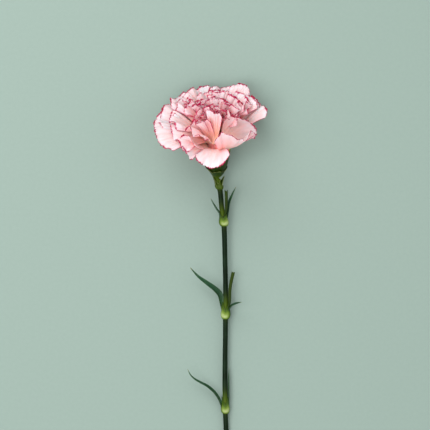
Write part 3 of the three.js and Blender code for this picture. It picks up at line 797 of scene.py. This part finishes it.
# %% The petals' finish
def petal_finish():
    """Pale pink over salmon roots, faintly veined along the fan. The tips of the teeth are
    dipped in crimson, to a depth that wanders and runs down the veins in short strokes."""
    f = Finish("petal_skin")
    edge, fan, along, tone, face = (f.measure(key) for key in ("edge", "fan", "along", "tone", "face"))
    depth, stain, under = (f.measure(key) for key in ("depth", "stain", "under"))
    along_fan = f.vector(fan, f.sum("MULTIPLY", along, 2.0), f.sum("MULTIPLY", tone, 31))
    veins = f.noise(along_fan, 0.9, 3, 0.55)
    broad = f.vector(f.sum("MULTIPLY", fan, 0.14), f.sum("MULTIPLY", along, 2.4), tone)
    blush = f.sum("ADD", along, f.span(f.noise(broad, 1.6, 2), 0.2, 0.8, -0.16, 0.12))
    flesh = f.ramp(blush, [(0.0, tint(236, 226, 184)), (0.22, tint(252, 176, 146)),
                           (0.48, tint(252, 182, 170)), (0.74, tint(251, 196, 196)),
                           (0.96, tint(248, 222, 227))])
    flesh = f.blend(f.span(veins, 0.4, 0.8, 0.0, 0.2), flesh, tint(248, 186, 196))
    # painted shade: a deep pink where depth is high, deep in the heart and towards the roots
    flesh = f.blend(f.sum("MULTIPLY", depth, 0.9), flesh, tint(253, 118, 132))
    flesh = f.blend(f.span(tone, 0.2, 1.0, 0.0, 0.5), flesh, tint(251, 192, 198))
    # painted shade: the back face is greyed, as far as under asks
    behind = f.span(face, 0.4, 0.6, 1.0, 0.0)
    flesh = f.blend(f.sum("MULTIPLY", under, behind), flesh, tint(214, 190, 189))
    wander = f.noise(f.vector(fan, tone), 0.7, 2, 0.6)
    strokes = f.noise(f.vector(f.sum("MULTIPLY", fan, 2.0), along, tone), 1.0, 2, 0.6)
    width = f.sum("ADD", f.span(wander, 0.3, 0.7, 0.2, 0.8),
                  f.sum("MULTIPLY", stain, f.span(strokes, 0.52, 0.72, 0.0, 1.8)))
    dip = f.span(f.sum("SUBTRACT", width, edge), -0.25, 0.25)
    crimson = f.blend(f.span(wander, 0.3, 0.7), tint(184, 18, 84), tint(134, 2, 46))
    halo = f.span(f.sum("SUBTRACT", f.sum("MULTIPLY", width, 2.8), edge), -0.8, 1.4, 0.0, 0.25)
    flesh = f.blend(halo, flesh, tint(236, 120, 156))
    f.relief(veins, 0.03)
    return f.done(f.blend(dip, flesh, crimson), Roughness=0.62, Specular_IOR_Level=0.2,
                  Subsurface_Weight=0.5, Subsurface_Radius=(1.0, 0.4, 0.36), Subsurface_Scale=0.002,
                  Sheen_Weight=0.1)


PETAL_SKIN = petal_finish()

# %% [markdown]
# ## One petal
#
# A carnation petal is a narrow strip, the claw, that opens into a fan with a toothed margin.
# Outer fans spread wide and smooth. Those nearer the heart are crumpled, because they had no
# room to open. A cloth simulation could crumple them. One formula with a few numbers for each
# petal is quicker and can be steered: a flat fan with teeth, bent along an arc, with creases,
# ruffles and dents that grow towards its margin.

# %% Unevenness along the margin
TOOTH_PITCH = 0.9


def uneven(random, u, count, low, high):
    """A value that wanders along the margin: count random ones, joined by straight lines."""
    return np.interp(u, np.linspace(0, 1, count), random.uniform(low, high, count))


def zigzag(random, u, count, depth):
    """Teeth: count points along the margin at uneven steps, high and low in turn, each by a
    depth of its own, joined by straight lines."""
    steps = random.uniform(0.4, 1.6, count)
    at = np.append(0, steps.cumsum() / steps.sum())
    sides = np.where(np.arange(count + 1) % 2, 1, -1)
    return np.interp(u, at, sides * random.uniform(0.15, 1.0, count + 1) * depth)


def crumple(random, u, v, waves=4):
    """Soft dents: a few long waves that run over the sheet in directions of their own."""
    total = 0
    for _ in range(waves):
        turn = random.uniform(0, 2 * np.pi)
        beat = random.uniform(0.7, 1.8)
        start = random.uniform(0, 2 * np.pi)
        total = total + np.sin(2 * np.pi * beat * (u * math.cos(turn) + v * math.sin(turn)) + start)
    return total / waves


# %% How far a fan stands off its own arc
def ruffles(random, u, v, beat, rim_length, wave, crimp, pleat, dents, roll):
    """Wide ruffles and fine ones, both growing towards the margin; creases, which follow the
    size of a sine, so that their valleys are sharp; soft dents; and a margin rolled outwards."""
    wide, fine = uneven(random, u, 6, 0.6, 1.3), uneven(random, u, 14, 0.1, 1.4)
    pleats = 2 * np.pi * (rim_length / 5) * u + random.uniform(0, 6)
    off = wave * v**1.6 * np.cos(beat) * wide + crimp * v**4 * np.sin(pleats + 2 * v) * fine
    folds = np.pi * (random.uniform(3, 7) * u + 0.35 * crumple(random, u, v))
    creases = np.abs(np.sin(folds + random.uniform(0, 3)))
    off = off + pleat * v * (creases - 0.6) * uneven(random, u, 8, 0.2, 1.3)
    off = off + dents * v * crumple(random, u, v)
    return off - roll * random.uniform(0.2, 1) * stretch(v, 0.72, 1.3) * 3


# %% A petal from its table row
MOUTH_SEAT = (7, 25)
CLAW = 4


def petal(seed, turn, rim, bend, spread, seat=MOUTH_SEAT, sway=0, curl=0, slant=8, wave=1.5, waves=2,
          phase=0.3, heart=(0, 0), crimp=0.5, meander=0.0, dents=1.2, roll=1.0, depth=0.0, stain=0.4,
          pallor=0.0, under=0.2, pleat=0.9, columns=120, rows=28):
    """A fan on a strip that bends along an arc from its seat to its rim, both (radius, height)
    in the head's frame. turn is the way it points from above, 0 right, 90 back, and heart the
    axis it stands round. sway leans the fan, curl wraps it across and slant tilts it. wave,
    waves and phase are its ruffles, crimp the fine ones at the margin, and meander swings the
    ruffles sideways until they double back. dents are soft hollows, pleat is how deep the fan
    is creased, and roll turns the margin outwards. depth is how strong a deep pink painted
    shade it takes towards its root, stain how far the crimson runs in, pallor how little blush
    it has and under how much grey painted shade its underside takes."""
    random = np.random.default_rng(seed)
    u = np.linspace(0, 1, columns + 1)
    v = (np.linspace(0, 1, rows + 1) ** 0.8)[:, None]
    outwards, upwards = rim[0] - seat[0], rim[1] - seat[1]
    arc, fan, lean = (math.radians(angle) for angle in (bend, spread, sway))
    reach = math.hypot(upwards, outwards) * arc / (2 * math.sin(arc / 2))
    start = math.atan2(upwards, outwards) - arc / 2
    # The fan, laid out flat
    across = 2 * u - 1
    teeth_count = int(reach * fan / TOOTH_PITCH)
    tooth = zigzag(random, u, teeth_count, 0.65) + zigzag(random, u, max(teeth_count // 5, 3), 0.9)
    length = reach * (1 - 0.12 * np.abs(across) ** 3)
    angle = fan / 2 * across + lean
    far = CLAW + v * length + tooth * v**6
    forward = far * np.cos(angle) - CLAW
    aside = far * np.sin(angle)
    # Bent along its arc, ruffled, and wrapped across
    lift = start + arc * forward / reach
    radius = seat[0] + (np.sin(lift) - math.sin(start)) * reach / arc
    height = seat[1] - (np.cos(lift) - math.cos(start)) * reach / arc
    beat = np.pi * (waves * across + 2 * phase)
    ruffle = ruffles(random, u, v, beat, fan * reach, wave, crimp, pleat, dents, roll)
    wrap = math.radians(curl) / (reach * fan) or 1e-6
    out = (1 - np.cos(wrap * aside)) / wrap + aside * math.tan(math.radians(slant)) * v + ruffle
    side = np.sin(wrap * aside) / wrap + meander * v**2 * np.sin(2 * beat)
    # Turned to its place in the head
    c, s = math.cos(math.radians(turn)), math.sin(math.radians(turn))
    r = radius - out * np.sin(lift)
    x, y = heart[0] + r * c - side * s, heart[1] + r * s + side * c
    points = np.stack([x, y, height + out * np.cos(lift)], -1)
    # Its measures for the finish; depth and under carry painted shade
    to_rim = (1 - v) * length - tooth * v**6
    to_side = (1 - np.abs(across)) * far * fan / 2 + 0.3 + 5 * np.clip(0.7 - v, 0, 1)
    own_veins, own_tone = random.uniform(-50, 50), random.uniform()
    return sheet(rest(on_head(points)), 0.34 - 0.16 * v + 0 * u, edge=np.minimum(to_rim, to_side),
                 fan=across * reach * fan / 2 + own_veins, along=pallor + (1 - pallor) * v + 0 * u,
                 tone=own_tone, depth=depth * (1 - 0.8 * stretch(v, 0.35, 1.0)) + 0 * u, stain=stain,
                 under=under)


# %% [markdown]
# ## Laying out the bloom
#
# A double carnation holds dozens of petals. The guard petals round the outside lie flat or
# hang down, and inside them stands a ring of petals that show their faces. They are few, and
# each is its own shape, so they are rows of a table. The heart is a crowd that nobody can tell
# apart. It could be scattered, but a spiral with a seeded draw fills it as a bud does: each
# petal stands a golden angle on from the last, a little further out and less upright.

# %% The outer petals
GUARD_PETALS = [
    {"turn": 171, "rim": (44, 46), "bend": -45, "spread": 46, "curl": 10, "slant": -22, "wave": 2},
    {"turn": 195, "rim": (48, 40), "bend": -50, "spread": 58, "sway": -2, "curl": -10, "slant": -18,
     "wave": 1.6, "phase": 0.1},
    {"turn": 232, "rim": (35.7, 33), "bend": -40, "spread": 22, "sway": -4, "curl": 11, "slant": -24,
     "wave": 2.8, "waves": 1.1, "phase": 0.1},
    {"turn": 235, "rim": (34.7, 43.8), "bend": 27, "spread": 28, "sway": -8, "curl": 15, "slant": -2,
     "wave": 2, "waves": 1, "phase": -0.06, "roll": 0, "under": 0.6},
    {"turn": 267, "rim": (33, 25), "bend": -89, "spread": 56, "sway": -6, "curl": 55, "slant": 17,
     "wave": 3.2, "waves": 1.2, "phase": 0.48, "dents": 2.4, "pleat": 0.5, "pallor": 0.5},
    {"turn": 306, "rim": (33, 48.6), "bend": 20, "spread": 58, "sway": -7, "curl": 52, "slant": -6,
     "wave": 3.1, "waves": 1.6, "phase": 0.42, "roll": 0, "dents": 0.4, "under": 0.6},
    {"turn": 36, "rim": (38, 51), "bend": -30, "spread": 34, "curl": 10, "wave": 1.4},
    {"turn": 52, "rim": (36, 54), "bend": -30, "spread": 36, "curl": 10, "wave": 2},
    {"turn": 64, "rim": (44, 43), "bend": -50, "spread": 40, "curl": 30, "slant": 0, "wave": 1},
    {"turn": 90, "rim": (40, 49), "bend": -45, "spread": 40, "curl": 5, "wave": 1.6},
    {"turn": 120, "rim": (44, 42), "bend": -50, "spread": 40, "curl": 30, "slant": 0, "wave": 1},
    {"turn": 138, "rim": (42, 52), "bend": -40, "spread": 50, "curl": 5, "wave": 2},
]
FACE_PETALS = [
    {"turn": 309, "seat": (3, 32.3), "rim": (7, 54.5), "bend": -19, "spread": 85, "sway": 43,
     "slant": -24, "wave": 1.2, "phase": -0.04, "dents": 0.6},
    {"turn": 254, "seat": (8, 32.6), "rim": (12, 59), "bend": -6, "spread": 32, "sway": -4,
     "curl": 44, "slant": -15, "wave": 0.8},
    {"turn": 262, "seat": (8, 31), "rim": (14, 55), "bend": -10, "spread": 30, "sway": -24,
     "curl": 20, "wave": 1.6},
    {"turn": 242, "seat": (8, 31), "rim": (19, 52), "bend": -14, "spread": 34, "sway": -20,
     "curl": 20, "wave": 2},
    {"turn": 226, "seat": (8, 30), "rim": (28, 47), "bend": -25, "spread": 44, "curl": 10,
     "slant": -10, "wave": 2.4},
    {"turn": 203, "seat": (8, 30), "rim": (37, 42), "bend": -40, "spread": 66, "slant": -22,
     "wave": 2, "waves": 3},
    {"turn": 180, "seat": (8, 30), "rim": (36, 48), "bend": -30, "spread": 46, "curl": 10,
     "slant": -12, "wave": 2.4},
    {"turn": 148, "seat": (8, 32), "rim": (36, 53), "bend": -20, "spread": 40, "curl": 10, "wave": 2.4},
    {"turn": 112, "seat": (8, 32), "rim": (38, 57), "bend": -20, "spread": 44, "curl": 10, "wave": 2.4},
    {"turn": 86, "seat": (8, 32), "rim": (36, 57), "bend": -20, "spread": 36, "curl": 10, "wave": 2},
    {"turn": 64, "seat": (8, 32), "rim": (36, 62), "bend": -12, "spread": 24, "curl": -15,
     "wave": 1.2, "waves": 1},
    {"turn": 44, "seat": (9, 33), "rim": (30, 58), "bend": -14, "spread": 36, "slant": 8, "wave": 1.6},
]
FACE_PAINTED_SHADE = 0.12       # how much deep pink painted shade the face petals take; the guard petals take none
print(len(GUARD_PETALS), "guard petals and", len(FACE_PETALS), "face petals")

# %% The petals of the heart
HEART = (-2, 11)
HEART_RADIUS = 29
HEART_FLATTENING = 0.35         # how much less the heart reaches to the front and back than across
HEART_PETALS = 44
GOLDEN_ANGLE = 137.5
LAYOUT_SEED = 11


def heart_petals():
    """A spiral outwards from the middle: each petal is a golden angle on from the last, give or
    take a little. Its share of the radius is the root of its share of the count, which spaces
    the petals evenly. The radius is less to the front and back, and least to the front."""
    random = np.random.default_rng(LAYOUT_SEED)
    table = []
    for k in range(HEART_PETALS):
        share = math.sqrt((k + 0.6) / HEART_PETALS)
        turn = k * GOLDEN_ANGLE + random.uniform(-20, 20)
        back = math.sin(math.radians(turn))
        radius = HEART_RADIUS * (1 - HEART_FLATTENING * (abs(back) + 0.4 * max(0, -back)))
        table.append({
            "turn": turn,
            "heart": HEART,
            "seat": (1 + 7 * share, 36),
            "rim": (2 + (radius - 2) * share, FACE_HEIGHT - 6 + 6 * share - random.uniform(0, 6)),
            "bend": random.uniform(-40, 5),
            "spread": random.uniform(40, 70),
            "sway": math.copysign(random.uniform(0, 20), math.cos(math.radians(turn))),
            "curl": random.uniform(-60, 60),
            "slant": random.uniform(-22, 26),
            "wave": random.uniform(1.8, 3.6),
            "waves": random.uniform(1.4, 3.2),
            "phase": random.uniform(0, 1),
            "crimp": random.uniform(0.5, 0.9),
            "meander": random.uniform(0.4, 1.2),
            # painted shade: the deep pink is strongest on the innermost petals
            "depth": 1 - 0.5 * share,
            "stain": 1.1 - 0.5 * share,
        })
    return table


heart_rows = heart_petals()
widest_fan = max(row["spread"] for row in heart_rows)
print(len(heart_rows), "heart petals, the widest fan", round(widest_fan), "degrees")

# %% [markdown]
# ## The claws
#
# Between the petals one sees down into the mouth of the calyx, where the claws stand packed
# like the bristles of a brush. They could be dozens of strips, but only their outside shows.
# So they are one dome, a turned profile with a low flute for each claw.

# %% The claws
CLAWS_FORM = [(8.3, 22), (8.1, 25), (7.4, 28), (6.2, 31), (4.4, 33.5), (0.4, 35)]


def claws(columns=132, rows=30, flutes=17):
    """A dome: its profile is a smooth curve through the form's points, and its radius swells a
    little for each flute, and five times round more slowly, so that the flutes aren't alike."""
    angle = full_circle(columns)
    form = curve_through(np.array([(r, h, 0) for r, h in CLAWS_FORM]), np.linspace(0, 1, rows + 1))
    radius = form[:, :1] * (1 + 0.05 * np.cos(flutes * angle) + 0.03 * np.cos(5 * angle + 1))
    height = form[:, 1:2] + 0 * angle
    # depth gives the dome a deep pink painted shade, down in the calyx's mouth
    return sheet(on_head(around_axis(radius, angle, height)), 0.3, wrap=True, edge=20 + 0 * height,
                 fan=angle * 7 + 0 * height, along=0.2 + 0 * height, depth=0.7 + 0 * height)


# %% The bloom
GUARD_SEED, FACE_SEED, HEART_SEED = 100, 200, 300

guard = [petal(GUARD_SEED + k, **one) for k, one in enumerate(GUARD_PETALS)]
make_piece("bloom_guard_petals", [claws(), *guard], PETAL_SKIN, "petal", "bloom")
facing = [petal(FACE_SEED + k, depth=FACE_PAINTED_SHADE, **one) for k, one in enumerate(FACE_PETALS)]
make_piece("bloom_face_petals", facing, PETAL_SKIN, "petal")
crumpled = [petal(HEART_SEED + k, columns=84, rows=20, **one) for k, one in enumerate(heart_rows)]
make_piece("bloom_heart_petals_outer", crumpled[HEART_PETALS // 2:], PETAL_SKIN, "petal")
make_piece("bloom_heart_petals_inner", crumpled[:HEART_PETALS // 2], PETAL_SKIN, "petal")

# %% [markdown]
# ## Table and light
#
# The flower lies on a plain pale table. It could stand before a curved backdrop, but a cut
# flower can't stand. Three broad square lamps and a pale sky give it the soft light of a
# studio: the petals stay bright on all sides, and their folds still throw faint shadows.

# %% The table
TABLE_SIZE = 6.0        # metres


def table_finish():
    """Plain pale sage, matt, with the faintest grain."""
    f = Finish("table_paint")
    paint = f.blend(f.noise(f.place(), 400, 2), tint(137, 153, 145), tint(141, 157, 149))
    return f.done(paint, Roughness=0.9, Specular_IOR_Level=0.1)


half = TABLE_SIZE / 2
corners = [(-half, -half, 0), (half, -half, 0), (half, half, 0), (-half, half, 0)]
table_mesh = bpy.data.meshes.new("table")
table_mesh.from_pydata(corners, [], [(0, 1, 2, 3)])
table_mesh.materials.append(table_finish())
table = bpy.data.objects.new("table", table_mesh)
bpy.context.scene.collection.objects.link(table)
table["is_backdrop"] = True

# %% Light
AIM = Vector((0, 0.06, 0))


def soft_light(name, place, size, power):
    """A square area light, size in metres and power in watts, turned towards the flower."""
    data = bpy.data.lights.new(name, "AREA")
    data.shape, data.size, data.energy = "SQUARE", size, power
    lamp = bpy.data.objects.new(name, data)
    bpy.context.scene.collection.objects.link(lamp)
    lamp.location = place
    lamp.rotation_euler = (AIM - Vector(place)).to_track_quat("-Z", "Y").to_euler()
    print(name, "light,", power, "W,", round((AIM - Vector(place)).length, 2), "m away")


soft_light("key", (-0.45, -0.25, 1.2), 0.8, 10)
soft_light("top", (-0.3, 0.6, 0.7), 0.6, 4)
soft_light("fill", (0.9, 0.1, 1.0), 1.4, 3.5)
world = bpy.data.worlds.new("studio")
world.use_nodes = True
sky = world.node_tree.nodes["Background"]
sky.inputs["Color"].default_value = tint(232, 238, 236)
sky.inputs["Strength"].default_value = 0.85
bpy.context.scene.world = world
bpy.context.scene.view_settings.view_transform = "Standard"

# %% [markdown]
# ## Camera
#
# The camera looks down, straight at the face of the flower's own frame. It could be close, with
# a wide lens, but then the head would loom and the stem would shrink away. From far off, with a
# long lens, the stem keeps its true length.

# %% Camera
PICTURE_WIDTH = 322.5                           # millimetres of table across the picture
PICTURE_CENTRE = np.array([-1.9, -29.25, 0])
CAMERA_DISTANCE = 1200
SENSOR = 36

lens_data = bpy.data.cameras.new("camera")
lens_data.sensor_width = SENSOR
lens_data.lens = SENSOR * CAMERA_DISTANCE / PICTURE_WIDTH
lens_data.clip_start, lens_data.clip_end = 0.05, 20
camera = bpy.data.objects.new("camera", lens_data)
bpy.context.scene.collection.objects.link(camera)
camera_at = on_floor(PICTURE_CENTRE + [0, 0, CAMERA_DISTANCE]) * MM
camera.matrix_world = Matrix.Translation(camera_at.tolist()) @ Matrix(BED_TURN.tolist()).to_4x4()
bpy.context.scene.camera = camera
print("the lens is", round(lens_data.lens), "mm")

# %% [markdown]
# ## Sizes
#
# Fine pieces must not outgrow the imported part that they stand for. The two boxes could be
# compared by eye; here both are written down, and printed side by side.

# %% Sizes
visual_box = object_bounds()
for side, cad, new in zip("xyz", Vector(cad_box[1]) - Vector(cad_box[0]), visual_box[1] - visual_box[0]):
    print(f"along {side}: packed {cad * 1000:.1f} mm, dressed {new * 1000:.1f} mm")
